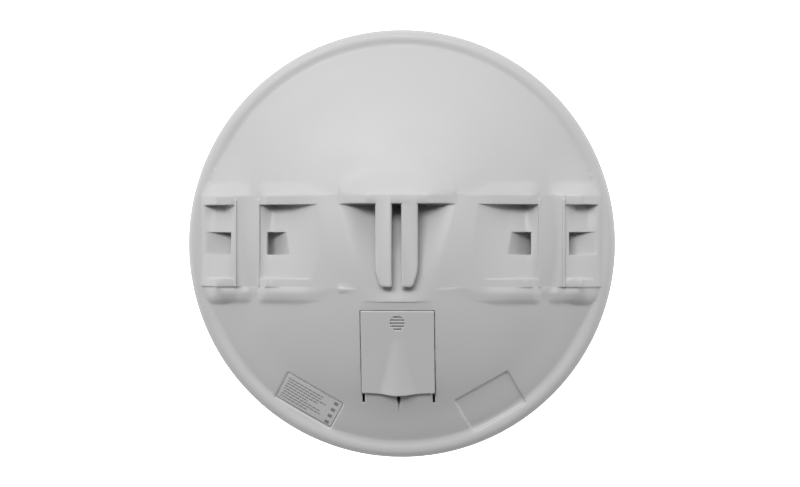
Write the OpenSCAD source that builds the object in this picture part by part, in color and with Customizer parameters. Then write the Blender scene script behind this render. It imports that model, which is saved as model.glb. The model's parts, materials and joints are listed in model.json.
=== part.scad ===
// Compact dish radio for a mast: round housing, antenna, board and sliding port door.
// +Z is up, the back (strap blocks, bracket rail, port door) faces -Y, the radome faces +Y.
// Sub-parts are drawn in a back frame: x to the side, y up, z out of the back, 0 at the parting line.

/* [Housing] */
// Outer diameter of the round housing
unit_d = 222; // [222:1:226]
// From the parting line to the rearmost face, on the hood and the rail
rear_depth = 32; // [32:0.5:34]
// From the parting line to the crown of the radome
front_depth = 24; // [24:0.5:28]
// Height of the dome above the groove inside the lip
dome_rise = 24; // [23.5:0.5:24.5]
// Thickness of the rear housing's wall
wall = 2.4; // [2.2:0.1:2.6]
// Thickness of the radome's wall
radome_wall = 2; // [1.6:0.1:2.2]

/* [Strap blocks] */
// Top of the blocks above the unit's axis
block_top = 24.3; // [24:0.1:25]
// Bottom of the blocks below the unit's axis
block_bottom = 22.4; // [22:0.1:23]
// Thickness of the ledges along the top and the bottom of a block
ledge_t = 4.5; // [4:0.1:5]
// Distance of the pole seat's centre from the unit's axis
seat_x = 77.9; // [77.5:0.1:78.3]
// Width of the pole seat
seat_w = 11.2; // [10.8:0.1:11.4]
// Height of the strap tunnel, for a band up to 10 mm wide
tunnel_w = 11.4; // [10.5:0.1:12]
// Clear depth of the strap tunnel
tunnel_h = 4.8; // [4.6:0.1:5]

/* [Bracket rail] */
// Width of each of the two bars
bar_w = 8.4; // [8:0.1:8.8]
// Gap between the bars
bar_gap = 4.6; // [4.4:0.1:5]
// Thickness of the bars
bar_t = 5; // [4.5:0.1:5.5]
// Lower end of the bars below the unit's axis
bar_end = 22; // [21:0.5:23]

/* [Port door] */
// Width of the door
door_w = 37.3; // [36.5:0.1:37.5]
// Length of the door along its slope
door_l = 43; // [42.5:0.1:43.5]
// Thickness of the door
door_t = 2; // [1.8:0.1:2.1]
// Slope of the door against the unit's axis, in degrees
door_tilt = 11.5; // [11.3:0.1:11.7]
// Height of the keel at the lower end of the door, over the cable
keel_h = 5; // [4.8:0.1:5.2]

/* [Electronics] */
// Thickness of the circuit boards
board_t = 1.6; // [1.4:0.1:1.7]
// Half width of the main board
board_half_w = 28; // [27.5:0.1:28.5]
// Width of the network jack
jack_w = 16; // [15.8:0.1:16.2]
// Depth of the network jack, from its mouth to its back
jack_l = 21.3; // [21:0.1:21.5]
// Height of the network jack
jack_h = 13.3; // [13.2:0.1:13.5]
// Travel of the reset button
reset_travel = 0.3; // [0.2:0.05:0.35]

/* [Antenna] */
// Diameter of the main reflector
reflector_d = 196; // [190:1:198]
// Depth of the main reflector from its flat centre to its rim
reflector_depth = 9; // [8:0.5:9]
// Diameter of the sub-reflector
sub_d = 44; // [36:1:50]
// Diameter of the feed board
feed_d = 38; // [36:1:40]

/* [Hidden] */
$fn = 96;

shell_colour = "gainsboro";
board_colour = "seagreen";
chip_colour = [0.12, 0.12, 0.13];
eps = 0.01;
far = 60;

// Where the parting line lies, so that the unit's box is centred on the origin
parting_y = (rear_depth - front_depth) / 2;

// Lip and dome
unit_r = unit_d / 2;
lip_r = 4;
lip_centre_r = unit_r - lip_r;
lip_centre_h = 2.3;
valley_r = lip_centre_r - lip_r;
valley_h = 4.7;
dome_apex = valley_h + dome_rise;
dome_r = (valley_r * valley_r + dome_rise * dome_rise) / (2 * dome_rise);
function dome_h(r) = dome_apex - (dome_r - sqrt(dome_r * dome_r - r * r));

// Strap blocks: face heights along a block, from the lip to the dome
seat_in = seat_x - seat_w / 2;
seat_out = seat_x + seat_w / 2;
rib_t = 1.1;
block_out = unit_r - 6.8;
block_in = 30;
crest_x = seat_out + 10.2;
flank_x = seat_in - 5;
lip_end_h = 6.2;
crest_h = 15.6;
rib_out_h = 14.2;
rib_in_h = 16.5;
flank_h = 20.6;
block_in_h = 26.6;
seat_h = 13;
seat_dish_r = 16;
bridge_t = 2.6;
tunnel_floor_h = seat_h - bridge_t - tunnel_h;
block_under_h = 2.6;
cell_in_end = 33;
cell_tilt_in = 12;
cell_tilt_out = 9;
cell_foot_step = 0.3;
cell_top = block_top - ledge_t;
cell_bottom = block_bottom - ledge_t;
fairing_up = 7;
fairing_down = 8;

// Strap passage: ramp at the inner window, and the mouth beside the lip
ramp_in = 55.4;
ramp_top_h = 19.5;
ramp_foot = 67;
mouth_in = seat_out + 3.4;
mouth_out = block_out - 1.5;
roof_in = seat_in - 5;
roof_h = tunnel_floor_h + tunnel_h;

// Hood and rail
hood_half_w = 29.2;
hood_flat = 15.8;
hood_end_h = 26.4;
hood_bottom = block_top - ledge_t + 0.2;
hood_root_h = 20;
hood_fade_y = 37;
hood_fade_half_w = 8;
bar_in = bar_gap / 2;
bar_out = bar_in + bar_w;
web_w = 4.4;
bar_lead_l = 7.4;
bar_lead_w = 2.8;
bar_corner = 0.8;
scoop_r = 45;
pocket_floor_top = 18;
pocket_end = 30;
pocket_slope = atan((dome_h(pocket_end) - pocket_floor_top) / (hood_bottom + pocket_end));
function pocket_floor(y) = pocket_floor_top + (hood_bottom - y) * tan(pocket_slope);

// Port bay and door
door_top_y = -34.2;
door_top_h = dome_h(-door_top_y);
door_gap = 0.25;
bay_half_w = door_w / 2 + door_gap;
bay_top = 35;
bay_bottom = 75.5;
bay_wall = 2.2;
leg_t = 1.2;
leg_depth = 3.2;
hook_reach = 1;
hook_gap = 0.25;
leg_tops = [-3, -20];
leg_l = 6;
guide_end = 70;
strip_l = 4.6;
strip_depth = 1;
notch_r = 3.1;
notch_h = 15.2;
groove_end = 87;
groove_half_w = 1.4;
keel_start = 14;
keel_half_w = 6.2;
keel_top_half_w = 2.2;
keel_wall = 1.5;
grip_y = 6.4;
grip_r = 3.8;
groove_pitch = 1.5;
groove_w = 0.7;
groove_depth = 0.7;
label_centre = [46.8, -81.2];
label_size = [33.3, 15.9];
recess_size = [31.2, 19.4];
label_turn = 29.5;
label_depth = 0.4;
label_t = 0.2;

// Stack from the reflector to the board: heights above the parting line
reflector_t = 1;
reflector_h = 0.4;
spacer_t = 1.6;
board_h = reflector_h + reflector_t + spacer_t;
parts_h = board_h + board_t;
board_top = 17;
board_bottom = 75;
screw_places = [[25, 12], [-25, 12], [25, -27], [-25, -27]];
screw_r = 1.5;
boss_r = 3.4;
jack_mouth = 58;
jack_top = jack_mouth - jack_l;
feed_h = -11;
sub_h = -17.5;

module back_frame() {
    translate([0, parting_y, 0]) rotate([90, 0, 0]) children();
}

module both_sides() {
    children();
    mirror([1, 0, 0]) children();
}

// Extrudes an outline drawn in x and height between two levels of y
module upright(y_low, y_high) {
    translate([0, y_high, 0]) rotate([90, 0, 0]) linear_extrude(y_high - y_low) children();
}

module slab(x0, x1, y0, y1, z0, z1) {
    translate([x0, y0, z0]) cube([x1 - x0, y1 - y0, z1 - z0]);
}

module disc(r, z0, z1) {
    translate([0, 0, z0]) cylinder(r = r, h = z1 - z0);
}

module ring(r_in, r_out, z0, z1) {
    difference() {
        disc(r_out, z0, z1);
        disc(r_in, z0 - 1, z1 + 1);
    }
}

module rounded_plate(size, r, t) {
    linear_extrude(t) round_rectangle(size, r);
}

// Rectangle with round corners, made of exact circles and squares
module round_rectangle(size, r) {
    square([size[0] - 2 * r, size[1]], center = true);
    square([size[0], size[1] - 2 * r], center = true);
    for (sx = [-1, 1], sy = [-1, 1])
        translate([sx * (size[0] / 2 - r), sy * (size[1] / 2 - r)]) circle(r = r, $fn = 32);
}

// ---------- Rear housing ----------

// Wall of the dome and the rolled lip, as a section through the unit's axis
module shell_section() {
    steps = 12;
    dome_out = [for (i = [0:steps]) let (r = valley_r * i / steps) [r, dome_h(r)]];
    lip_out = [for (a = [150:-15:0]) [lip_centre_r + lip_r * cos(a), lip_centre_h + lip_r * sin(a)]];
    inner_r = lip_r - wall;
    lip_in = [for (a = [0:30:150])
        [lip_centre_r + inner_r * cos(a), lip_centre_h + inner_r * sin(a)]];
    dome_in = [for (i = [steps:-1:0]) let (r = valley_r * i / steps) [r, dome_h(r) - wall]];
    polygon(concat(dome_out, lip_out, [[unit_r, 0]], [[lip_centre_r + inner_r, 0]], lip_in, dome_in));
}

// Back face of a strap block: ramp from the lip, two flanks of the pole seat, slope to the dome
function block_face() = [[block_out, lip_end_h], [crest_x, crest_h], [seat_out + rib_t, rib_out_h],
    [seat_out, rib_out_h], [seat_in, rib_in_h], [seat_in - rib_t, rib_in_h], [flank_x, flank_h],
    [block_in, block_in_h]];

// The underside follows the cells' floors and the ramp of the strap passage
module block_solid() {
    upright(-block_bottom, block_top)
        polygon(concat(block_face(), [[block_in, 15.5], [54, 12], [66, block_under_h],
            [block_out, block_under_h]]));
}

// Smooth lead-in between the dome and the upper or lower side of a block
module block_fairing(y_side, y_foot) {
    hull() {
        upright(y_side - 0.2, y_side + 0.2)
            polygon([[block_out, lip_end_h - 0.4], [crest_x, crest_h - 0.6], [flank_x, flank_h - 0.6],
                [block_in + 4, block_in_h - 1.2], [block_in + 4, 12], [block_out, 3.5]]);
        upright(y_foot - 0.2, y_foot + 0.2)
            polygon([[crest_x + 2, 4.5], [crest_x - 4, 7.5], [flank_x, 16], [46, 20.6], [46, 12],
                [crest_x + 2, 3.5]]);
    }
}

// Open cell between the ledges: its floor keeps the outline of the block's face, level with it
// at the foot and falling away upwards to a deep pocket under the top ledge
module cell(x0, x1, tilt) {
    intersection() {
        slab(x0, x1, -cell_bottom, cell_top, tunnel_floor_h, far);
        translate([0, -cell_bottom, -cell_foot_step]) rotate([-tilt, 0, 0]) upright(-20, far)
            polygon([[block_out, far], [block_out, lip_end_h], [crest_x, crest_h],
                [seat_out, rib_out_h], [seat_in, rib_in_h], [flank_x, flank_h],
                [block_in, block_in_h], [block_in, far]]);
    }
}

// Passage of the band: under the seat, out at the lip, and up a ramp at the inner window
module strap_passage() {
    half = tunnel_w / 2;
    upright(-half, half)
        polygon([[ramp_in, far], [ramp_in, ramp_top_h], [ramp_foot, tunnel_floor_h],
            [mouth_out, tunnel_floor_h], [mouth_out, far], [mouth_in, far], [mouth_in, roof_h],
            [roof_in, roof_h], [roof_in, far]]);
}

module pole_seat() {
    intersection() {
        slab(seat_in, seat_out, -far, far, seat_h - 3, far);
        union() {
            translate([seat_x, far, seat_h + seat_dish_r]) rotate([90, 0, 0])
                cylinder(r = seat_dish_r, h = 2 * far);
            slab(seat_in, seat_out, -far, far, seat_h + seat_dish_r, far);
        }
    }
}

// Hood over the rail, level in the middle and falling to the dome at its ends
module hood_solid() {
    upright(hood_bottom, block_top)
        polygon([[-hood_half_w, 12], [-hood_half_w, hood_end_h], [-hood_flat, rear_depth],
            [hood_flat, rear_depth], [hood_half_w, hood_end_h], [hood_half_w, 12]]);
    hull() {
        upright(block_top - 0.2, block_top)
            polygon([[-hood_half_w, hood_root_h], [-hood_half_w, hood_end_h - 0.3],
                [-hood_flat, rear_depth - 0.6], [hood_flat, rear_depth - 0.6],
                [hood_half_w, hood_end_h - 0.3], [hood_half_w, hood_root_h]]);
        upright(hood_fade_y, hood_fade_y + 0.4)
            polygon([[-hood_fade_half_w, hood_root_h],
                [-hood_fade_half_w, dome_h(hood_fade_y) - 0.6],
                [hood_fade_half_w, dome_h(hood_fade_y) - 0.6], [hood_fade_half_w, hood_root_h]]);
    }
}

// Scoop of the central pocket, deep below the hood and level with the dome at its foot
module scoop(grow) {
    intersection() {
        slab(-far, far, -far, hood_bottom + grow, 0, 2 * far);
        translate([0, hood_bottom, pocket_floor_top]) rotate([90 - pocket_slope, 0, 0])
            translate([0, scoop_r, -far]) cylinder(r = scoop_r + grow, h = 2 * far, $fn = 180);
    }
}

module dome_ball(inset) {
    translate([0, 0, dome_apex - dome_r]) sphere(r = dome_r - inset, $fn = 200);
}

// Wall below the scoop, inside the dome
module pocket_tray() {
    intersection() {
        difference() {
            scoop(wall);
            scoop(0);
        }
        dome_ball(1);
        slab(-far, far, -pocket_end - 2, hood_bottom + wall, 0, far);
    }
}

// One bar of the rail on its web, with chamfers at its lower end to lead a bracket on
module rail_bar() {
    web_in = bar_in + (bar_w - web_w) / 2;
    outline = [[bar_in, hood_bottom + eps], [bar_out, hood_bottom + eps], [bar_out, -bar_end + bar_lead_l],
        [bar_out - bar_lead_w, -bar_end], [bar_in + bar_corner, -bar_end],
        [bar_in, -bar_end + bar_corner]];
    translate([0, 0, rear_depth - bar_t]) linear_extrude(bar_t) polygon(outline);
    slab(web_in, web_in + web_w, -bar_end + 1.5, hood_bottom + eps, pocket_floor_top, rear_depth - 1);
}

module door_frame() {
    translate([0, door_top_y, door_top_h]) rotate([door_tilt, 0, 0]) children();
}

// Walls of the port bay, from the dome down to the main board
module bay_walls() {
    intersection() {
        difference() {
            slab(-bay_half_w - bay_wall, bay_half_w + bay_wall, -bay_bottom - bay_wall,
                -bay_top + bay_wall, parts_h + 0.1, far);
            slab(-bay_half_w, bay_half_w, -bay_bottom, -bay_top, 0, far);
        }
        dome_ball(1);
    }
}

// Everything that the bay and the door's travel take out of the housing
module bay_cut() {
    slab(-bay_half_w, bay_half_w, -bay_bottom, -bay_top, parts_h - 1, far);
    door_frame() {
        slab(-bay_half_w, bay_half_w, -guide_end, door_gap, -door_t - door_gap, far);
        slab(-bay_half_w, bay_half_w, door_gap - 1, strip_l, -strip_depth, far);
        both_sides() {
            slab(bay_half_w - leg_t - 0.6, bay_half_w, -guide_end, leg_tops[0] + 0.8,
                -leg_depth - hook_gap, 0);
            slab(bay_half_w - leg_t, bay_half_w + hook_reach, -guide_end, leg_tops[0] + 0.8,
                -leg_depth - hook_gap, -door_t);
        }
    }
    // Way out for the cable, over the lower wall of the bay
    translate([0, -bay_bottom + 1, notch_h]) rotate([90, 0, 0]) cylinder(r = notch_r, h = 2.4);
    // Narrow groove that fades out on the dome below the door
    upright(-groove_end, -bay_bottom)
        polygon([[0, dome_h(groove_end)], [groove_half_w, dome_h(groove_end) + 4],
            [-groove_half_w, dome_h(groove_end) + 4]]);
}

module label_prism(size, side) {
    translate([side * label_centre[0], label_centre[1], 0]) rotate([0, 0, side * label_turn])
        linear_extrude(far) round_rectangle(size, 0.8);
}

module label_recess(size, side) {
    difference() {
        label_prism(size, side);
        dome_ball(label_depth);
    }
}

// Screw bosses from the board up into the wall of the pocket or the dome
function scoop_h(p) = pocket_floor(p[1]) + scoop_r - sqrt(scoop_r * scoop_r - p[0] * p[0]);

module bosses() {
    for (p = screw_places)
        translate([p[0], p[1], parts_h])
            cylinder(r = boss_r, h = min(scoop_h(p), dome_h(norm(p))) - wall / 2 - parts_h);
}

module rear_housing() color(shell_colour) back_frame() {
    difference() {
        union() {
            difference() {
                union() {
                    rotate_extrude($fn = 180) shell_section();
                    both_sides() {
                        block_solid();
                        block_fairing(block_top, block_top + fairing_up);
                        block_fairing(-block_bottom, -block_bottom - fairing_down);
                    }
                    hood_solid();
                }
                scoop(0);
            }
            pocket_tray();
            both_sides() rail_bar();
            bay_walls();
            bosses();
        }
        both_sides() {
            cell(seat_out + rib_t, block_out - 0.5, cell_tilt_out);
            cell(cell_in_end, seat_in - rib_t, cell_tilt_in);
            strap_passage();
            pole_seat();
        }
        bay_cut();
        label_recess(label_size, -1);
        label_recess(recess_size, 1);
        for (p = screw_places)
            translate([p[0], p[1], parts_h - 1]) cylinder(r = screw_r + 0.05, h = 8);
    }
}

// ---------- Covers ----------

radome_edge_r = unit_r - 0.6;
bowl_r = 92;
bowl_edge_h = -15;
function radome_h(r, inset) = -front_depth + inset + (front_depth + bowl_edge_h) * pow(r / bowl_r, 2);

module radome_section() {
    outer = [for (i = [0:9]) let (r = bowl_r * i / 9) [r, radome_h(r, 0)]];
    inner = [for (i = [9:-1:0]) let (r = (bowl_r - 1) * i / 9) [r, radome_h(r, radome_wall)]];
    edge = radome_edge_r;
    polygon(concat(outer, [[99, -12.9], [104.5, -9.6], [108.6, -4.8], [edge, 0], [edge - 2.4, 0],
        [edge - 2.4, 2], [edge - 4.2, 2], [edge - 4.2, -4], [102.6, -8.6], [98, -11.2]], inner));
}

module front_radome() color(shell_colour) back_frame() rotate_extrude($fn = 180) radome_section();

module rim_gasket() color("dimgray") back_frame()
    ring(radome_edge_r - 6, radome_edge_r - 4.4, 0.2, 2);

module keel(inset) {
    end = -door_l + (inset > 0 ? -1 : 0);
    hull() {
        translate([0, end, 0]) rotate([90, 0, 0]) linear_extrude(0.02)
            polygon([[-keel_half_w + inset, -door_t - inset], [keel_half_w - inset, -door_t - inset],
                [keel_half_w - inset, -0.4], [keel_top_half_w, keel_h - inset],
                [-keel_top_half_w, keel_h - inset], [-keel_half_w + inset, -0.4]]);
        translate([0, -keel_start, -1.2]) cube([1, 0.02, 1], center = true);
    }
}

module door_leg(top) {
    slab(door_w / 2 - leg_t, door_w / 2, top - leg_l, top, -leg_depth, -door_t + 0.1);
    slab(door_w / 2 - eps, door_w / 2 + hook_reach, top - leg_l, top, -leg_depth, -door_t - hook_gap);
}

module port_door() color(shell_colour) back_frame() door_frame() {
    difference() {
        union() {
            slab(-door_w / 2, door_w / 2, -door_l, 0, -door_t, 0);
            keel(0);
            both_sides() for (top = leg_tops) door_leg(top);
        }
        keel(keel_wall);
        // Grip: short grooves inside a round outline
        intersection() {
            translate([0, -grip_y, -groove_depth]) cylinder(r = grip_r, h = 3);
            for (i = [-2:2]) translate([0, -grip_y + i * groove_pitch, 0])
                slab(-grip_r, grip_r, -groove_w / 2, groove_w / 2, -groove_depth, 1);
        }
    }
}

module rating_label() color("whitesmoke") back_frame() intersection() {
    label_prism(label_size - [0.6, 0.6], -1);
    difference() {
        dome_ball(label_depth - label_t);
        dome_ball(label_depth);
    }
}

// ---------- Antenna ----------

flat_r = 42;
function reflector_z(r) = reflector_h
    - reflector_depth * pow((r - flat_r) / (reflector_d / 2 - flat_r), 1.6);

module main_reflector() color("silver") back_frame() difference() {
    rotate_extrude($fn = 180) polygon(concat(
        [[0, reflector_h + reflector_t], [0, reflector_h], [flat_r, reflector_h]],
        [for (i = [1:7]) let (r = flat_r + (reflector_d / 2 - flat_r) * i / 7) [r, reflector_z(r)]],
        [for (i = [7:-1:0]) let (r = flat_r + (reflector_d / 2 - flat_r) * i / 7)
            [r, reflector_z(r) + reflector_t]]));
    for (p = screw_places) translate([p[0], p[1], -3]) cylinder(r = screw_r + 0.2, h = 8);
    for (s = [-1, 1]) translate([s * 2.6, 0, -3]) cylinder(r = 1.2, h = 8, $fn = 32);
}

module reflector_spacers() color("ivory") back_frame() for (p = screw_places)
    translate([p[0], p[1], 0]) ring(screw_r + 0.2, 3.2, reflector_h + reflector_t, board_h);

module board_screws() color("silver") back_frame() for (p = screw_places)
    translate([p[0], p[1], 0]) {
        disc(screw_r, reflector_h - 0.5, parts_h + 6);
        difference() {
            disc(2.8, reflector_h - 1.8, reflector_h);
            translate([0, 0, reflector_h - 1.8]) cube([0.7, 3.4, 1.4], center = true);
            translate([0, 0, reflector_h - 1.8]) cube([3.4, 0.7, 1.4], center = true);
        }
    }

module feed_stalk() color("ivory") back_frame() difference() {
    union() {
        disc(5, sub_h, reflector_h);
        disc(9, reflector_h - 1.5, reflector_h);
        disc(7, feed_h + 0.2, feed_h + 1.4);
    }
    for (s = [-1, 1]) translate([s * 2.6, 0, sub_h + 2]) cylinder(r = 1.1, h = 30, $fn = 32);
    for (s = [-1, 1]) slab(s * 2.6 - 1.1, s * 2.6 + 1.1, 0, 8, feed_h - board_t, feed_h);
    translate([0, 0, sub_h - 1]) cylinder(r = 1.25, h = 6, $fn = 32);
}

module feed_board() color(board_colour) back_frame() ring(5.05, feed_d / 2, feed_h - board_t, feed_h);

module dipole_arms() color("peru") back_frame() for (a = [45:90:315])
    rotate([0, 0, a]) slab(6.2, feed_d / 2 - 2, -1.6, 1.6, feed_h - board_t - 0.2, feed_h - board_t);

module sub_reflector() color("silver") back_frame() ring(1.35, sub_d / 2, sub_h - 1, sub_h);

module feed_cap() color("ivory") back_frame() {
    disc(1.2, sub_h - 1.5, sub_h + 4.5);
    disc(3.5, sub_h - 2.4, sub_h - 1);
}

module rf_leads() color("dimgray") back_frame() for (s = [-1, 1])
    translate([s * 2.6, 0, feed_h]) cylinder(r = 0.9, h = board_h - feed_h, $fn = 24);

// ---------- Main board ----------

module on_board(x, y, w, l, h) {
    slab(x - w / 2, x + w / 2, y - l / 2, y + l / 2, parts_h, parts_h + h);
}

module main_board() color(board_colour) back_frame() difference() {
    translate([0, (board_top - board_bottom) / 2, board_h])
        rounded_plate([2 * board_half_w, board_top + board_bottom], 2, board_t);
    for (p = screw_places) translate([p[0], p[1], 0]) cylinder(r = screw_r + 0.2, h = 9);
}

module thermal_pad() color("lightpink") back_frame()
    slab(-14, 14, -15, -2, reflector_h + reflector_t, board_h);

shield_size = [36, 25, 3.4];
shield_y = -2;
module rf_shield() color("silver") back_frame() difference() {
    on_board(0, shield_y, shield_size[0], shield_size[1], shield_size[2]);
    on_board(0, shield_y, shield_size[0] - 0.8, shield_size[1] - 0.8, shield_size[2] - 0.4);
}

module radio_chip() color(chip_colour) back_frame() on_board(9, shield_y, 9, 9, 0.9);

module processor() color(chip_colour) back_frame() on_board(-6, shield_y, 14, 14, 1.2);

module memory_chip() color(chip_colour) back_frame() on_board(-23.4, -8, 8, 12, 1);

module flash_chip() color(chip_colour) back_frame() on_board(-23.6, 2, 6, 5, 1.5);

module crystal() color("silver") back_frame() on_board(21.5, 3, 3.2, 5, 0.9);

module power_inductor() color("dimgray") back_frame()
    translate([24.5, -38, parts_h]) rounded_plate([6, 6], 1.2, 3.6);

module bulk_capacitors() color("darkslategray") back_frame() for (y = [-15, -6])
    translate([23.4, y, parts_h]) cylinder(r = 3.9, h = 8, $fn = 64);

module ethernet_transformer() color(chip_colour) back_frame() on_board(0, -24.6, 16, 12, 6);

// Space in the jack for a plug, with the step for the plug's latch above it
module plug_space(grow) {
    slab(-5.95 - grow, 5.95 + grow, -jack_mouth - 1, -jack_mouth + 13, parts_h + 2.2 - grow,
        parts_h + 9 + grow);
    slab(-3.2 - grow, 3.2 + grow, -jack_mouth - 1, -jack_mouth + 13, parts_h + 5,
        parts_h + 11.4 + grow);
}

module jack_shield() color("silver") back_frame() difference() {
    slab(-jack_w / 2, jack_w / 2, -jack_mouth, -jack_top, parts_h + 0.6, parts_h + jack_h);
    slab(-jack_w / 2 + 0.4, jack_w / 2 - 0.4, -jack_mouth + 0.4, -jack_top - 0.4, parts_h - 1,
        parts_h + jack_h - 0.4);
    plug_space(0.5);
}

module jack_body() color(chip_colour) back_frame() difference() {
    slab(-jack_w / 2 + 0.5, jack_w / 2 - 0.5, -jack_mouth + 0.5, -jack_top - 0.5, parts_h,
        parts_h + jack_h - 0.5);
    plug_space(0);
    for (i = [0:7]) translate([(i - 3.5) * 1.02 - 0.3, -jack_mouth + 2, parts_h + 1])
        cube([0.6, 14, 2.6]);
}

module jack_contacts() color("gold") back_frame() for (i = [0:7])
    translate([(i - 3.5) * 1.02, -jack_mouth + 4, parts_h + 1.4]) {
        translate([-0.2, 0, 0]) cube([0.4, 11.6, 0.4]);
        translate([-0.2, 1.6, 0.3]) rotate([18, 0, 0]) cube([0.4, 7, 0.35]);
    }

module status_leds() color("palegreen") back_frame() for (i = [0:5])
    on_board(-13.6, -41 - i * 3.6, 1.6, 2, 0.8);

reset_place = [13.6, -46];
reset_body = 6;
reset_body_h = 3.4;
module reset_switch() color(chip_colour) back_frame() difference() {
    on_board(reset_place[0], reset_place[1], reset_body, reset_body, reset_body_h);
    translate([reset_place[0], reset_place[1], parts_h + 1.6]) cylinder(r = 1.85, h = 4, $fn = 48);
}

module reset_button() color("firebrick") back_frame()
    translate([reset_place[0], reset_place[1], parts_h + 1.6 + reset_travel + 0.1])
        cylinder(r = 1.75, h = 3.4, $fn = 48);

rear_housing();
front_radome();
rim_gasket();
port_door();
rating_label();
main_reflector();
reflector_spacers();
board_screws();
feed_stalk();
feed_board();
dipole_arms();
sub_reflector();
feed_cap();
rf_leads();
main_board();
thermal_pad();
rf_shield();
radio_chip();
processor();
memory_chip();
flash_chip();
crystal();
power_inductor();
bulk_capacitors();
ethernet_transformer();
jack_shield();
jack_body();
jack_contacts();
status_leds();
reset_switch();
reset_button();
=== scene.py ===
"""Looks of the dish-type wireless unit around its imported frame.

The moulded shells are modelled as distance fields in the back frame, in millimetres: x to the side,
y up and h out of the back, 0 at the parting line. A field is below 0 inside the plastic. skin() turns
it into a mesh in the row frame, in metres.
"""

import json
import math

import bmesh
import bpy
import numpy as np
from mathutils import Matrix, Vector


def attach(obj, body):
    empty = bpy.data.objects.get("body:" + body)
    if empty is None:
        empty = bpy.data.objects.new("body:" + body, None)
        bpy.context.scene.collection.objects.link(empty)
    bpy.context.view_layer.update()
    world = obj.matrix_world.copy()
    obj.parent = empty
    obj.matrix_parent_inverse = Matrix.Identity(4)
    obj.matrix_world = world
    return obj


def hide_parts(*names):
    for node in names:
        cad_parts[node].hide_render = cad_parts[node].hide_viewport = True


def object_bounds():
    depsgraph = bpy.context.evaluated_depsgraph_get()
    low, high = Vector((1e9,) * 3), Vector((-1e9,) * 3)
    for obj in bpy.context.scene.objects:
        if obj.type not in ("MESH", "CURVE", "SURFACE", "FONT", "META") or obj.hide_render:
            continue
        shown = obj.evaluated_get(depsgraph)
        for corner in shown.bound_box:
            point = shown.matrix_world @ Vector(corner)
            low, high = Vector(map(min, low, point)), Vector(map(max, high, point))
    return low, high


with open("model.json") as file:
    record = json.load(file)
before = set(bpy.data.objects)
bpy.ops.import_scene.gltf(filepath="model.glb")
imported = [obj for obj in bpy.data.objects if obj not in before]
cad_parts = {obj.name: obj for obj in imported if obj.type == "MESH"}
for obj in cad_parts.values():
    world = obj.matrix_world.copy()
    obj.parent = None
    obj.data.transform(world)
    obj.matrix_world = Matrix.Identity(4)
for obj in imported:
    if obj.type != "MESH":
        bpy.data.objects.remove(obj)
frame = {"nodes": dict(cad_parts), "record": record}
cad_low, cad_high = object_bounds()

MM = 0.001
FRONT_DEPTH = 24.0
PARTING_Y = cad_high[1] / MM - FRONT_DEPTH

# Lip and dome
UNIT_R = (cad_high[0] - cad_low[0]) / 2 / MM
REAR_DEPTH = PARTING_Y - cad_low[1] / MM
LIP_R = 4.0
LIP_CENTRE_R = UNIT_R - LIP_R
LIP_CENTRE_H = 1.4
VALLEY_R = LIP_CENTRE_R - LIP_R
VALLEY_H = 4.7
DOME_RISE = 24.0
DOME_APEX = VALLEY_H + DOME_RISE
DOME_R = (VALLEY_R**2 + DOME_RISE**2) / (2 * DOME_RISE)
DENT_R, DENT_WIDTH, DENT_DEPTH = 88, 9, 0.8
WALL = 2.4

# Strap blocks
BLOCK_TOP, BLOCK_BOTTOM = 24.3, -22.4
LEDGE = 4.5
SEAT_IN, SEAT_OUT = 72.3, 83.5
SEAT_X = (SEAT_IN + SEAT_OUT) / 2
RIB, RIB_END = 1.1, 84.6
BLOCK_OUT = UNIT_R - 6.8
RIB_X, RIB_H = (71.2, 83.5), (17.0, 15.4)
FACE_X = [26.0, 30.0, 36.0, 67.3, 71.2, 84.6, 93.7, BLOCK_OUT, UNIT_R]
FACE_H = [23.5, 25.5, 25.0, 20.2, 16.6, 14.4, 15.2, 4.9, -2.0]
SEAT_H, SEAT_CURVE, SEAT_LEAN = 14.0, 16.0, 0.1
FAIRING_UP, FAIRING_DOWN = 7.0, 8.2
TUNNEL_HALF, TUNNEL_ROOF, TUNNEL_IN = 5.7, 10.4, 55.4

# Hood, rail, bay and door
HOOD_END, HOOD_FLAT, HOOD_END_H = 29.2, 15.8, 25.9
HOOD_BOTTOM = BLOCK_TOP - LEDGE + 0.2
POCKET_DEPTH, POCKET_END, POCKET_SIDE = 13.0, -30, 31
BAR_IN, BAR_OUT, BAR_T, BAR_END = 2.3, 10.7, 5.0, -22.0
DOOR_W, DOOR_L, DOOR_T = 37.3, 43.0, 2.0
DOOR_TOP_Y = -34.2
DOOR_TILT = math.radians(11.5)
DOOR_GAP = 0.25
GUIDE_DEPTH, GUIDE_TOP, GROOVE_END = 3.45, -2.2, -31
GRIP_U, GRIP_R = -6.3, 3.8
BAY_HALF = DOOR_W / 2 + DOOR_GAP
BAY_TOP, BAY_BOTTOM, BAY_WALL = -35.0, -75.5, 2.2
BOARD_TOP_H = 4.6

# Label recesses: side, length and width, depth; and the film in the left one
RECESSES = ((-1, (33.3, 15.9), 0.8), (1, (31.2, 19.4), 1.2))
RECESS_X, RECESS_Y, RECESS_TURN = 46.8, -81.2, math.radians(29.5)
FILM_SIZE, FILM_TOP, FILM_T = (33.4, 14.6), 0.65, 0.15


# ---------- Distance fields ----------


def meet(r, *fields):
    """Where all the fields overlap, with the edges between them rounded to r."""
    round_off = np.sqrt(sum(np.maximum(f + r, 0) ** 2 for f in fields))
    deepest = fields[0]
    for f in fields[1:]:
        deepest = np.maximum(deepest, f)
    return np.minimum(deepest + r, 0) + round_off - r


def join(r, a, b):
    """a and b together, with a fillet of r in the corner between them."""
    return -meet(r, -a, -b)


def cut(r, a, b):
    """a without b, with the edge around the hole rounded to r."""
    return meet(r, a, -b)


def between(value, low, high):
    """The slab where the value lies from low to high."""
    return np.maximum(low - value, value - high)


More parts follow.
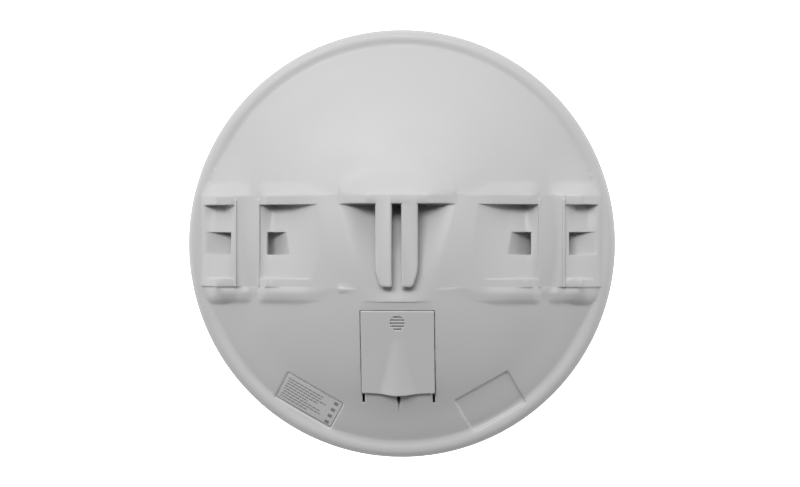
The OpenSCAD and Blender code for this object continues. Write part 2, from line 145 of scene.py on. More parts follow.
def box(r, x, y, h, x_range, y_range, h_range):
    """Block with its edges rounded to r."""
    return meet(r, between(x, *x_range), between(y, *y_range), between(h, *h_range))


def ball_h(r):
    """Height of the plain dome at a distance r from its axis."""
    return DOME_APEX - DOME_R + np.sqrt(np.maximum(DOME_R**2 - r**2, 0))


def dent(r):
    """Shallow ring in the dome, between its middle and the lip."""
    return DENT_DEPTH * np.exp(-(((r - DENT_R) / DENT_WIDTH) ** 2))


def dome_h(x, y):
    """Height of the dome with its dent."""
    r = np.hypot(x, y)
    return ball_h(r) - dent(r)


def soften(shape, x, y, reach, steps=5):
    """Mean of a height over a small cross around each point, which rounds its kinks."""
    offsets = np.linspace(-reach, reach, steps)
    return sum(shape(x + d, y) + shape(x, y + d) for d in offsets) / (2 * steps)


def widely(face, x, reach, steps=61):
    """Mean of a face's height over a span of x."""
    return sum(face(x + d) for d in np.linspace(-reach, reach, steps)) / steps


def swell(x, low, peak, high):
    """0 at low and high, 1 at the peak, smooth between them."""
    t = np.clip(1.25 * np.minimum((x - low) / (peak - low), (high - x) / (high - peak)), 0, 1)
    return t * t * (3 - 2 * t)


def face_h(x):
    """Height of a strap block's ledges, with the pole seat's hollow between the ribs."""
    off = np.abs(x) - SEAT_X
    seat = SEAT_H + off**2 / (2 * SEAT_CURVE) - off * SEAT_LEAN
    between_ribs = np.abs(off) < (RIB_X[1] + RIB - RIB_X[0]) / 2
    return np.where(between_ribs, seat, np.interp(np.abs(x), FACE_X, FACE_H))


def block_h(x, y):
    """Height of a strap block with the fairings that lead its ends back to the dome."""
    upper = y > 0
    edge = np.where(upper, BLOCK_TOP, BLOCK_BOTTOM)
    out = np.abs(y) - np.abs(edge)
    reach = np.where(upper, FAIRING_UP, FAIRING_DOWN + swell(np.abs(x), 84, 94, 104))
    spread = np.clip(out / 2.5, 0, 1)
    inner_top = np.where(upper, 0.6 * np.clip((46 - np.abs(x)) / 16, 0, 1), 0)
    face = (1 - spread) * face_h(x) + spread * widely(face_h, x, 4.0) - inner_top
    proud = np.maximum(face - dome_h(x, edge), 0)
    share = np.clip(out / reach, 0, 1)

    # A wide, low slope that the steeper fairing stands on
    broad = np.clip(1 - out / 26, 0, 1)
    mean_proud = np.maximum(widely(face_h, x, 9.0) - dome_h(x, edge), 0)
    gentle = np.where(upper, 0.55, 0.35) * mean_proud**2 / (mean_proud + 3)
    power = np.where(upper, 1.25, 2.4)
    proud = proud - np.where(upper, 0, 0.8 * np.clip(proud - 1.5, 0, 1.6))
    led = dome_h(x, y) + gentle * broad**2 * (3 - 2 * broad) + (proud - gentle) * (1 - share**power)

    # Where it would lie level with the dome it goes below it, and the lower one swells a little
    led = led - 0.3 * np.clip(out - 25, 0, 5)
    led = led - 0.9 * np.clip(1 - proud, 0, 1) ** 2 * np.clip(out / 5, 0, 1)
    ends = np.clip((np.abs(x) - 26) / 22, 0, 1) * np.clip((99 - np.abs(x)) / 8, 0, 1)
    led = led + np.where(upper, 0, 0.8) * ends * swell(out, -1, 4.6, FAIRING_DOWN + 1.5)
    return np.where(out > 0, led, face)


def hood_face(x):
    """Height of the hood's front: flat in its middle, and leaning back to its ends."""
    return np.interp(np.abs(x), [0, HOOD_FLAT, HOOD_END], [REAR_DEPTH, REAR_DEPTH, HOOD_END_H])


def hood_h(x, y):
    """Height of the hood with the half-oval fairing that leads it back to the dome."""
    out = np.maximum(y - BLOCK_TOP, 0)
    spread = np.clip(out / 3, 0, 1)
    face = (1 - spread) * hood_face(x) + spread * widely(hood_face, x, 6.0)
    proud = np.maximum(face - dome_h(x, BLOCK_TOP), 0)
    reach = 13.5 * np.sqrt(np.clip(1 - (x / 32) ** 2, 0.01, 1))
    share = np.clip(out / reach, 0, 1)
    curve = 0.6 * share**2 * (3 - 2 * share) + 0.4 * share
    led = dome_h(x, y) + proud * (1 - curve) - 0.6 * np.clip(out - reach, 0, 5)
    past_end = np.maximum(np.abs(x) - HOOD_END, 0)
    return np.where(y > BLOCK_TOP, led, face) - 0.8 * past_end


def door_axes(y, h):
    """Place along the door (0 at its top edge, down is negative) and height above its face."""
    dy, dh = y - DOOR_TOP_Y, h - ball_h(-DOOR_TOP_Y)
    c, s = math.cos(DOOR_TILT), math.sin(DOOR_TILT)
    return dy * c + dh * s, dh * c - dy * s


def pocket_floor(x, y):
    """Height of the pocket below the hood: deep at its top, and level with the dome at its rim."""
    climb = np.clip((y - POCKET_END) / (HOOD_BOTTOM - POCKET_END), 0, 1)
    half = 17 + 13 * climb
    side = np.clip(1 - (x / half) ** 2, 0, 1)
    return dome_h(x, y) - POCKET_DEPTH * climb**1.1 * side**1.8


def cells(x, y, h):
    """Open cells between the ledges: each floor falls away in a scoop, deepest below the top ledge."""
    foot = BLOCK_BOTTOM + LEDGE
    rise = np.clip((y - foot) / (BLOCK_TOP - LEDGE - foot), 0, 1) ** 1.3
    inner = 16.1 + 0.29 * (RIB_X[0] - x) - 6.0 * rise * swell(x, 37, 62, RIB_X[0] + 1)
    t = np.clip((x - RIB_END) / (BLOCK_OUT - RIB_END), 0, 1)
    outer = 13.8 - 7.6 * t**2 - 6.0 * rise * swell(x, 83.5, 93, BLOCK_OUT)
    tall = between(y, foot, BLOCK_TOP - LEDGE)
    first = meet(0.12, between(x, 30, RIB_X[0]), tall, (inner - h) * 0.9)
    second = meet(0.12, between(x, RIB_X[1] + RIB, BLOCK_OUT), tall, (outer - h) * 0.9)
    return np.minimum(first, second)


def housing_solid(x, y, h):
    """One half of the rear housing, for x from 0 up."""
    r = np.hypot(x, y)
    ball = np.hypot(r, h - DOME_APEX + DOME_R) - DOME_R
    dome = ball + dent(r)
    lip = np.hypot(r - LIP_CENTRE_R, np.maximum(h - LIP_CENTRE_H, 0))
    body = join(3.0, np.maximum(dome, (r - LIP_CENTRE_R) * 1.6), lip - LIP_R)
    cavity = np.minimum(np.maximum(dome + WALL, r - LIP_CENTRE_R), lip - LIP_R + WALL)
    shell = np.maximum(body, -cavity)

    # Pocket with its tray
    floor = pocket_floor(x, y)
    span = np.minimum(HOOD_BOTTOM - y, np.minimum(y - POCKET_END + 1, POCKET_SIDE - x))
    solid = np.maximum(shell, np.minimum((h - floor) * 0.85, span))
    back = np.maximum(HOOD_BOTTOM - y, y - HOOD_BOTTOM - 2)
    tray = np.minimum(np.maximum(h - floor, y - HOOD_BOTTOM - 2), back)
    tray = np.maximum(np.maximum(tray, floor - WALL - h), np.maximum(dome + 0.8, x - 29))
    solid = np.minimum(solid, np.maximum(tray, POCKET_END - y))

    # Blocks and hood, with their fairings
    under = np.interp(x, [21, 30, 54, 66, BLOCK_OUT], [23.5, 15.5, 12, 2.6, 2.6])
    blocks = np.maximum((h - soften(block_h, x, y, 0.5)) * 0.8, np.maximum(under - h, 21 - x))
    fillet = 0.6 * np.clip(1.2 - np.maximum(np.abs(y) - 22, 0) / 8, 0.03, 1)
    solid = join(fillet, solid, blocks)
    hood = (h - soften(hood_h, x, y, 0.8)) * 0.85
    hood = meet(0.6, hood, HOOD_BOTTOM - y)
    solid = join(0.8, solid, np.maximum(hood, -WALL / 2 - dome))

    # Twin-bar rail
    lead = (x - BAR_OUT) * 0.936 - (y - BAR_END - 7.4) * 0.353
    bar = meet(
        1.3,
        between(x, BAR_IN, BAR_OUT),
        between(y, BAR_END, HOOD_BOTTOM + 3),
        between(h, REAR_DEPTH - BAR_T, REAR_DEPTH),
        lead,
    )
    web = box(0.3, x, y, h, (4.3, 8.7), (BAR_END + 1.5, HOOD_BOTTOM + 2), (17, REAR_DEPTH - 1))
    solid = join(0.4, solid, np.minimum(bar, web))

    # Port bay walls, inside the dome
    walls = box(0.1, x, y, h, (-1, BAY_HALF + BAY_WALL), (BAY_BOTTOM - BAY_WALL, BAY_TOP + BAY_WALL),
                (BOARD_TOP_H + 0.1, 60))
    solid = np.minimum(solid, np.maximum(walls, dome + 0.8))

    # Cells, ribs beside the pole seat, and the strap's passage
    solid = cut(0.05, solid, cells(x, y, h))
    for rib_x, rib_h in zip(RIB_X, RIB_H):
        rib = box(0.3, x, y, h, (rib_x, rib_x + RIB), (BLOCK_BOTTOM + 0.2, BLOCK_TOP - 1.6), (9, rib_h))
        solid = join(0.25, solid, rib)
    ramp = (19.3 - h) * 0.64 - (x - TUNNEL_IN) * 0.768
    bed = 4.2 + np.maximum(x - 87.5, 0) * 0.27
    tunnel = meet(0.3, between(y, -TUNNEL_HALF, TUNNEL_HALF), np.maximum(bed - h, ramp),
                  between(x, TUNNEL_IN, BLOCK_OUT - 1.5),
                  np.minimum(h - TUNNEL_ROOF, np.minimum(x - 67.45, 86.85 - x)))
    solid = cut(0.3, solid, tunnel)

    # Port bay, the strip above the door, its guides and the cable groove
    u, n = door_axes(y, h)
    open_end = 80
    bay = box(0.3, x, y, h, (-1, BAY_HALF), (BAY_BOTTOM, BAY_TOP), (BOARD_TOP_H - 1, open_end))
    solid = cut(0.15, solid, bay)
    seat_cut = meet(0.1, between(x, -1, BAY_HALF), between(u, -70, DOOR_GAP), -DOOR_T - DOOR_GAP - n)
    strip = meet(0.1, between(x, -1, BAY_HALF), between(u, -1, 4.6), -0.9 - n)
    guide = meet(0.1, between(x, BAY_HALF - 1.8, BAY_HALF), between(u, -70, GUIDE_TOP),
                 -GUIDE_DEPTH - n)
    under_cut = meet(0.1, between(x, BAY_HALF - 1.2, BAY_HALF + 0.6),
                     between(u, GROOVE_END, GUIDE_TOP), between(n, -GUIDE_DEPTH, -DOOR_T - 0.15))
    slot = meet(0.05, between(x, BAY_HALF - 1.5, BAY_HALF - 0.3), between(y, -81.4, -75), -2.8 - dome)
    for hollow in (seat_cut, strip, guide, under_cut, slot):
        solid = cut(0.12, solid, hollow)
    notch = meet(0.2, np.hypot(x, h - 15.2) - 3.1, between(y, BAY_BOTTOM - 1.4, BAY_BOTTOM + 1))
    solid = cut(0.2, solid, notch)
    groove = np.maximum((x - (h - dome_h(0, 87)) * 0.4) * 0.93, between(y, -87, BAY_BOTTOM))
    solid = cut(0.15, solid, groove)
    return np.maximum(solid, -h)


def label_field(x, y, side, size, corner=0.8):
    """Distance from a round-cornered rectangle turned along the dome's lower edge."""
    turn = RECESS_TURN * side
    dx, dy = x - side * RECESS_X, y - RECESS_Y
    along, across = dx * math.cos(turn) + dy * math.sin(turn), dy * math.cos(turn) - dx * math.sin(turn)
    return meet(corner, np.abs(along) - size[0] / 2, np.abs(across) - size[1] / 2)


# ---------- Meshes ----------


def lines(low, high, marks, coarse, fine, zones=(), reach=0.8):
    """Grid lines from low to high: close together at each mark, and of a set step within each zone."""
    at, out = low, [low]
    while at < high:
        gap = min([abs(at - m) for m in marks] or [coarse * 9])
        step = min(coarse, fine + max(0.0, gap - reach) * 0.35)
        for start, end, zone_step in zones:
            if start < at < end:
                step = min(step, zone_step)
        at += step
        out.append(at)
    return np.array(out)


def net(field, xs, ys, hs):
    """Points and quads of the field's zero surface, with one point in each cell that it crosses."""
    inside = field < 0
    shape = np.array(field.shape)
    total = np.zeros(shape - 1, np.int8)
    for i in (0, 1):
        for j in (0, 1):
            for k in (0, 1):
                total += inside[i : shape[0] - 1 + i, j : shape[1] - 1 + j, k : shape[2] - 1 + k]
    mixed = (total > 0) & (total < 8)
    cells = np.argwhere(mixed)
    number = np.full(mixed.shape, -1, np.int64)
    number[mixed] = np.arange(len(cells))
    axes = (xs, ys, hs)
    sums, counts = np.zeros((len(cells), 3)), np.zeros(len(cells))
    for axis in range(3):
        others = [a for a in range(3) if a != axis]
        for first in (0, 1):
            for second in (0, 1):
                start = cells.copy()
                start[:, others[0]] += first
                start[:, others[1]] += second
                end = start.copy()
                end[:, axis] += 1
                f0, f1 = field[tuple(start.T)], field[tuple(end.T)]
                hit = (f0 < 0) != (f1 < 0)
                share = np.where(hit, f0 / np.where(hit, f0 - f1, 1), 0)
                place = np.stack([axes[a][start[:, a]] for a in range(3)], 1).astype(float)
                place[:, axis] += share * (axes[axis][end[:, axis]] - axes[axis][start[:, axis]])
                sums += place * hit[:, None]
                counts += hit
    quads = []
    for axis in range(3):
        a, b = [k for k in range(3) if k != axis]
        low = [slice(1, -1)] * 3
        high = [slice(1, -1)] * 3
        low[axis], high[axis] = slice(0, -1), slice(1, None)
        first, second = inside[tuple(low)], inside[tuple(high)]
        spots = np.argwhere(first != second)
        outward = first[tuple(spots.T)]
        spots[:, [a, b]] += 1
        around = []
        for da, db in ((0, 0), (-1, 0), (-1, -1), (0, -1)):
            c = spots.copy()
            c[:, a] += da
            c[:, b] += db
            around.append(number[tuple(c.T)])
        quad = np.stack(around, 1)
        flip = outward if axis != 1 else ~outward
        quad[flip] = quad[flip][:, ::-1]
        quads.append(quad)
    return sums / counts[:, None], np.concatenate(quads)


SHARP = math.radians(38)
HOUSING_FACES, DOOR_FACES = 190_000, 60_000


def new_object(name, mesh):
    """Object in the scene that shows the mesh."""
    piece = bpy.data.objects.new(name, mesh)
    bpy.context.scene.collection.objects.link(piece)
    return piece


def row_frame(points):
    """Back frame in millimetres to row frame in metres."""
    x, y, h = points[:, 0], points[:, 1], points[:, 2]
    return np.stack([x, PARTING_Y - h, y], 1) * MM


def skin(name, points, quads):
    """Smooth object made of the quads, with its normals outwards."""
    mesh = bpy.data.meshes.new(name)
    mesh.from_pydata(points.tolist(), [], quads.tolist())
    mesh.validate()
    bm = bmesh.new()
    bm.from_mesh(mesh)
    bmesh.ops.recalc_face_normals(bm, faces=bm.faces)
    bm.to_mesh(mesh)
    bm.free()
    mesh.shade_smooth()
    mesh.set_sharp_from_angle(angle=SHARP)
    return new_object(name, mesh)


def thin_out(piece, faces):
    """Merges small faces where the surface is nearly flat, down to about that many triangles."""
    count = 2 * len(piece.data.polygons)
    if count <= faces:
        return
    thin = piece.modifiers.new("thin", "DECIMATE")
    thin.ratio = faces / count
    graph = bpy.context.evaluated_depsgraph_get()
    mesh = bpy.data.meshes.new_from_object(piece.evaluated_get(graph))
    piece.modifiers.clear()
    piece.data = mesh
    mesh.shade_smooth()
    mesh.set_sharp_from_angle(angle=SHARP)


FACE_TRIM = 0.05


def tab_rise(x, y):
    """Small tab beside the left block's inner end, which fades away up and inwards."""
    across = np.clip((x + 30.2) / 0.6, 0, 1) * np.clip((-22 - x) / 6, 0, 1)
    along = np.clip((y + 25.1) / 0.6, 0, 1) * np.clip((-20 - y) / 3, 0, 1)
    corner = np.clip((2.2 - np.hypot(np.minimum(x + 28.0, 0), np.minimum(y + 22.9, 0))) / 0.5, 0, 1)
    return 0.5 * across * along * corner


def rear_housing():
    """Mesh of the rear housing: one half's field, mirrored, with the recesses pressed in."""
    half_x = lines(0, UNIT_R + 1, [0.2, BAR_IN, BAR_OUT, 18.2, 18.9, HOOD_END, TUNNEL_IN, 67.3,
                                   RIB_X[0], SEAT_IN, SEAT_OUT, RIB_END, 86.9, 102.7],
                   1.3, 0.22, [(29, 65, 0.5)])
    ys = lines(-UNIT_R - 1, UNIT_R + 1, [BLOCK_TOP, BLOCK_TOP - LEDGE, TUNNEL_HALF, -TUNNEL_HALF,
                                         BLOCK_BOTTOM + LEDGE, BLOCK_BOTTOM, -29.7, DOOR_TOP_Y,
                                         -77, -81], 1.3, 0.22, [(-98, -65, 0.5)])
    hs = lines(-0.8, REAR_DEPTH + 1, [REAR_DEPTH, REAR_DEPTH - BAR_T], 0.8, 0.3, [(4, 27, 0.5)])
    x, y, h = half_x[:, None, None], ys[None, :, None], hs[None, None, :]
    half = housing_solid(x.astype(np.float32), y.astype(np.float32), h.astype(np.float32))
    xs = np.concatenate([-half_x[:0:-1], half_x])
    field = np.concatenate([half[:0:-1], half])

    # Label recesses, in the outer skin only
    x = xs[:, None, None]
    outer = np.clip((h - dome_h(x, y) + 2.0) / 0.7, 0, 1)
    for side, size, depth in RECESSES:
        field += depth * np.clip(0.5 - label_field(x, y, side, size) / 0.5, 0, 1) * outer
    points, quads = net(field, xs, ys, hs)
    x, y, h = points.T
    points[:, 2] += tab_rise(x, y) * np.clip((h - dome_h(x, y) + 1.6) / 0.8, 0, 1)
    points[:, 2] = np.minimum(points[:, 2], REAR_DEPTH - FACE_TRIM)
    piece = skin("rear_housing_shell", row_frame(points), quads)
    thin_out(piece, HOUSING_FACES)
    return piece


# ---------- Port door, radome and label ----------


def door_hump(x, u):
    """Height of the keel above the door's face: a soft ridge that grows towards the outlet."""
    t = np.clip((-u - 14) / (DOOR_L - 14), 0, 1) ** 1.2
    s = np.clip(1 - (x / (3.0 + 7.5 * t)) ** 2, 0, 1)
    return 2.8 * t * s * s


def door_solid(x, u, n):
    """Port door in its own axes, with legs and hooks behind it and the ribbed round grip."""
    hump = door_hump(x, u)
    bow = 0.8 * np.clip(1.25 - np.abs(x) * 1.25 / 16, 0, 1)
    solid = meet(0.35, np.abs(x) - DOOR_W / 2, between(u, -DOOR_L - bow, 0), (n - hump) * 0.9,
                 -DOOR_T - n)
    hollow = meet(0.3, (n - hump + 1.5) * 0.8, np.abs(x) - 5.2, u + 20)
    solid = cut(0.2, solid, hollow)
    for top in (-3.0, -20.0):
        leg = box(0.1, np.abs(x), u, n, (DOOR_W / 2 - 1.2, DOOR_W / 2), (top - 6, top), (-3.2, -1))
        hook = box(0.1, np.abs(x), u, n, (DOOR_W / 2 - 0.5, DOOR_W / 2 + 0.7), (top - 6, top),
                   (-3.2, -DOOR_T - 0.25))
        solid = np.minimum(solid, np.minimum(leg, hook))
    grip = np.hypot(x, u - GRIP_U) - GRIP_R
    solid = cut(0.1, solid, np.maximum(grip, -0.15 - n))
    for i in range(-2, 3):
        solid = cut(0.12, solid, meet(0.1, np.abs(u - GRIP_U - i * 1.6) - 0.34, grip, -1.2 - n))
    return solid


def port_door():
    """Mesh of the port door, turned to lie in the dome."""
    xs = lines(-21, 21, [-19.65, -18.65, -17.5, 17.5, 18.65, 19.65], 0.5, 0.18, [(-4.2, 4.2, 0.25)])
    us = lines(-DOOR_L - 2, 1, [-DOOR_L, -DOOR_L - 0.8, 0], 0.5, 0.18, [(-11, -2, 0.16)])
    ns = lines(-4, 6.2, [-2, 0], 0.3, 0.14)
    field = door_solid(xs[:, None, None], us[None, :, None], ns[None, None, :])
    points, quads = net(field, xs, us, ns)
    c, s = math.cos(DOOR_TILT), math.sin(DOOR_TILT)
    x, u, n = points.T
    y = DOOR_TOP_Y + u * c - n * s
    h = ball_h(-DOOR_TOP_Y) + u * s + n * c
    piece = skin("port_door_shell", row_frame(np.stack([x, y, h], 1)), quads)
    thin_out(piece, DOOR_FACES)
    return piece


def lathe(name, profile, steps=256):
    """Profile of (distance from the axis, height), from axis to axis, turned around the unit's axis."""
    turns = np.arange(steps) * 2 * math.pi / steps
    rings = [np.stack([r * np.cos(turns), r * np.sin(turns), np.full(steps, float(h))], 1)
             for r, h in profile]
    points, quads, count = np.concatenate(rings), [], len(profile)
    for i in range(count - 1):
        a, b = i * steps, (i + 1) * steps
        for k in range(steps):
            quads.append((a + k, a + (k + 1) % steps, b + (k + 1) % steps, b + k))
    piece = skin(name, row_frame(points), np.array(quads))
    bm = bmesh.new()
    bm.from_mesh(piece.data)
    bmesh.ops.remove_doubles(bm, verts=bm.verts, dist=0.001 * MM)
    bm.to_mesh(piece.data)
    bm.free()
    return piece


def radome_h(r):
    """Height of the radome's outer face at a distance r from the axis."""
    return -FRONT_DEPTH + 9 * (r / 92) ** 2


def arc(centre, radius, start, end, steps):
    """Points on an arc, from one angle to another in degrees."""
    angles = np.radians(np.linspace(start, end, steps))
    return [(centre[0] + radius * math.cos(a), centre[1] + radius * math.sin(a)) for a in angles]


def front_radome():
    """Bowl of the radome, with a rounded shoulder and a skirt that goes into the housing's lip."""
    edge, wall, bend = UNIT_R - 0.6, 2.0, 20
    shoulder = arc((edge - bend, 5.1), bend, -68, -15, 14)
    bowl_out = [(r, radome_h(r)) for r in np.linspace(0, shoulder[0][0] - 1.5, 34)]
    inner = arc((edge - bend, 5.1), bend - wall, -15, -68, 14)
    bowl_in = [(r, radome_h(r) + wall) for r in np.linspace(inner[-1][0] - 2, 0, 34)]
    rim = [(edge, 0), (edge - 2.4, 0), (edge - 2.4, 2), (edge - 4.2, 2), (edge - 4.2, -3)]
    return lathe("front_radome_shell", bowl_out + shoulder + rim + inner + bowl_in)


def rating_label():
    """Film in the left recess, following the dome."""
    turn = -RECESS_TURN
    nu, nv = 34, 17
    mesh = bpy.data.meshes.new("rating_label_film")
    bm = bmesh.new()
    uv = bm.loops.layers.uv.new("film")
    grid = {}
    for layer in (0, 1):
        for i in range(nu):
            for j in range(nv):
                a = (i / (nu - 1) - 0.5) * FILM_SIZE[0]
                b = (j / (nv - 1) - 0.5) * FILM_SIZE[1]
                x = -RECESS_X + a * math.cos(turn) - b * math.sin(turn)
                y = RECESS_Y + a * math.sin(turn) + b * math.cos(turn)
                h = dome_h(x, y) - FILM_TOP - layer * FILM_T
                grid[i, j, layer] = bm.verts.new((x * MM, (PARTING_Y - h) * MM, y * MM))
    for layer in (0, 1):
        for i in range(nu - 1):
            for j in range(nv - 1):
                corners = [(i, j), (i + 1, j), (i + 1, j + 1), (i, j + 1)]
                face = bm.faces.new([grid[a, b, layer] for a, b in corners])
                for loop, (a, b) in zip(face.loops, corners):
                    loop[uv].uv = (a / (nu - 1), b / (nv - 1))
    rim = [(i, 0) for i in range(nu)] + [(nu - 1, j) for j in range(1, nv)]
    rim += [(i, nv - 1) for i in range(nu - 2, -1, -1)] + [(0, j) for j in range(nv - 2, 0, -1)]
    for a, b in zip(rim, rim[1:] + rim[:1]):
        bm.faces.new([grid[(*a, 0)], grid[(*a, 1)], grid[(*b, 1)], grid[(*b, 0)]])
    bmesh.ops.recalc_face_normals(bm, faces=bm.faces)
    bm.to_mesh(mesh)
    bm.free()
    mesh.shade_smooth()
    return new_object("rating_label_film", mesh)


# ---------- Materials ----------


class Nodes:
    """Short way to build a material's node tree."""

    def __init__(self, name):
        self.material = bpy.data.materials.new(name)
        self.material.use_nodes = True
        self.tree = self.material.node_tree
        self.shader = self.tree.nodes["Principled BSDF"]

    def add(self, kind, links=(), **values):
        node = self.tree.nodes.new(kind)
        for key, value in values.items():
            if key in node.inputs:
                node.inputs[key].default_value = value
            else:
                setattr(node, key, value)
        for key, source in dict(links).items():
            self.link(source, node.inputs[key])
        return node

    def link(self, source, target):
        self.tree.links.new(source, target)

    def set(self, **values):
        for key, value in values.items():
            self.shader.inputs[key.replace("_", " ")].default_value = value

    def noise(self, scale, detail=3.0, roughness=0.5, stretch=(1, 1, 1)):
        place = self.add("ShaderNodeTexCoord").outputs["Object"]
        stretched = self.add("ShaderNodeMapping", {"Vector": place})
        stretched.inputs["Scale"].default_value = stretch
        texture = self.add("ShaderNodeTexNoise", {"Vector": stretched.outputs["Vector"]})
        texture.inputs["Scale"].default_value = scale
        texture.inputs["Detail"].default_value = detail
        texture.inputs["Roughness"].default_value = roughness
        return texture.outputs["Fac"]

    def ramp(self, fac, low, high, start=0.3, end=0.7):
        """Colour ramp from low to high as fac goes from start to end."""
        ramp = self.add("ShaderNodeValToRGB", {"Fac": fac})
        ramp.color_ramp.elements[0].position, ramp.color_ramp.elements[1].position = start, end
        ramp.color_ramp.elements[0].color = (*low, 1)
        ramp.color_ramp.elements[1].color = (*high, 1)
        return ramp.outputs["Color"]

    def span(self, fac, low, high):
        """Number that goes from low to high as fac goes from 0.3 to 0.7."""
        node = self.add("ShaderNodeMapRange", {"Value": fac})
        for key, value in (("From Min", 0.3), ("From Max", 0.7), ("To Min", low), ("To Max", high)):
            node.inputs[key].default_value = value
        return node.outputs["Result"]

    def bump(self, height, distance, strength=1.0):
        node = self.add("ShaderNodeBump", {"Height": height})
        node.inputs["Distance"].default_value = distance
        node.inputs["Strength"].default_value = strength
        self.link(node.outputs["Normal"], self.shader.inputs["Normal"])


def shade(colour, factor):
    """The colour made lighter or darker."""
    return tuple(min(1.0, c * factor) for c in colour)


def plastic(name, colour, rough=0.45, grain=2600, depth=0.00002, mottle=0.02):
    """Moulded plastic: fine spark-eroded grain, with faint flow marks in colour and gloss."""
    m = Nodes(name)
    flow = m.noise(14, 4)
    m.link(m.ramp(flow, shade(colour, 1 - mottle), shade(colour, 1 + mottle)),
           m.shader.inputs["Base Color"])
    m.link(m.span(m.noise(60, 3), rough - 0.03, rough + 0.04), m.shader.inputs["Roughness"])
    m.bump(m.noise(grain, 2, 0.6), depth)
    return m.material


def metal(name, colour, rough=0.3, stretch=(1, 1, 1), scale=300):
    """Rolled or turned metal, with fine marks along its grain."""
    m = Nodes(name)
    m.set(Metallic=1.0)
    marks = m.noise(scale, 4, 0.6, stretch)
    m.link(m.ramp(marks, shade(colour, 0.85), shade(colour, 1.08)), m.shader.inputs["Base Color"])
    m.link(m.span(marks, rough - 0.06, rough + 0.1), m.shader.inputs["Roughness"])
    m.bump(marks, 0.00001)
    return m.material


def rubber(name, colour):
    """Dull rubber with a little dust."""
    m = Nodes(name)
    dust = m.noise(180, 5)
    m.link(m.ramp(dust, colour, shade(colour, 1.6)), m.shader.inputs["Base Color"])
    m.link(m.span(dust, 0.7, 0.9), m.shader.inputs["Roughness"])
    m.bump(m.noise(1500, 2), 0.00004)
    return m.material


def circuit_board(name):
    """Solder-masked board: tracks under the mask, as cells with thin walls."""
    m = Nodes(name)
    place = m.add("ShaderNodeTexCoord").outputs["Object"]
    cells = m.add("ShaderNodeTexVoronoi", {"Vector": place}, feature="DISTANCE_TO_EDGE",
                  distance="MANHATTAN")
    cells.inputs["Scale"].default_value = 420
    tracks = m.ramp(cells.outputs["Distance"], (0.03, 0.16, 0.07), (0.012, 0.075, 0.035), 0.02, 0.12)
    m.link(tracks, m.shader.inputs["Base Color"])
    m.link(m.span(m.noise(90), 0.28, 0.42), m.shader.inputs["Roughness"])
    m.bump(cells.outputs["Distance"], 0.00003)
    return m.material


def label_film(name):
    """White film with a thin border and plain bars in rows where print would be."""
    m = Nodes(name)
    uv = m.add("ShaderNodeTexCoord").outputs["UV"]
    split = m.add("ShaderNodeSeparateXYZ", {"Vector": uv})

    def math_node(operation, a, b):
        node = m.add("ShaderNodeMath", operation=operation)
        for i, v in enumerate((a, b)):
            if hasattr(v, "is_output"):
                m.link(v, node.inputs[i])
            else:
                node.inputs[i].default_value = v
        return node.outputs[0]

    def inside(value, low, high):
        return math_node("MULTIPLY", math_node("GREATER_THAN", value, low),
                         math_node("LESS_THAN", value, high))

    u, v = split.outputs["X"], split.outputs["Y"]
    rows = inside(math_node("FRACT", math_node("MULTIPLY", v, 10.0), 0.0), 0.28, 0.72)
    row = math_node("FLOOR", math_node("MULTIPLY", v, 10.0), 0.0)
    white = m.add("ShaderNodeTexWhiteNoise", noise_dimensions="1D")
    m.link(row, white.inputs["W"])
    length = math_node("ADD", math_node("MULTIPLY", white.outputs["Value"], 0.3), 0.48)
    bar = math_node("MULTIPLY", rows, inside(u, 0.06, 1.0))
    bar = math_node("MULTIPLY", bar, math_node("LESS_THAN", u, length))
    bar = math_node("MULTIPLY", bar, inside(v, 0.1, 0.9))
    gaps = math_node("GREATER_THAN",
                     math_node("FRACT", math_node("MULTIPLY", math_node("ADD", u, row), 13.7), 0.0), 0.16)
    bar = math_node("MULTIPLY", bar, gaps)
    squares = math_node("MULTIPLY", inside(u, 0.86, 0.93),
                        inside(math_node("FRACT", math_node("MULTIPLY", v, 4.0), 0.0), 0.28, 0.75))
    ink = math_node("MAXIMUM", bar, squares)
    edge_u = math_node("ABSOLUTE", math_node("SUBTRACT", u, 0.5), 0.0)
    edge_v = math_node("ABSOLUTE", math_node("SUBTRACT", v, 0.5), 0.0)
    border = math_node("MAXIMUM", inside(edge_u, 0.482, 0.49), inside(edge_v, 0.462, 0.48))
    ink = math_node("MAXIMUM", ink, border)
    mix = m.add("ShaderNodeMix", {"Factor": ink}, data_type="RGBA")
    mix.inputs["A"].default_value = (0.48, 0.48, 0.48, 1)
    mix.inputs["B"].default_value = (0.2, 0.2, 0.2, 1)
    m.link(mix.outputs["Result"], m.shader.inputs["Base Color"])
    m.link(m.span(m.noise(400), 0.3, 0.42), m.shader.inputs["Roughness"])
    m.bump(m.noise(900), 0.00001)
    return m.material


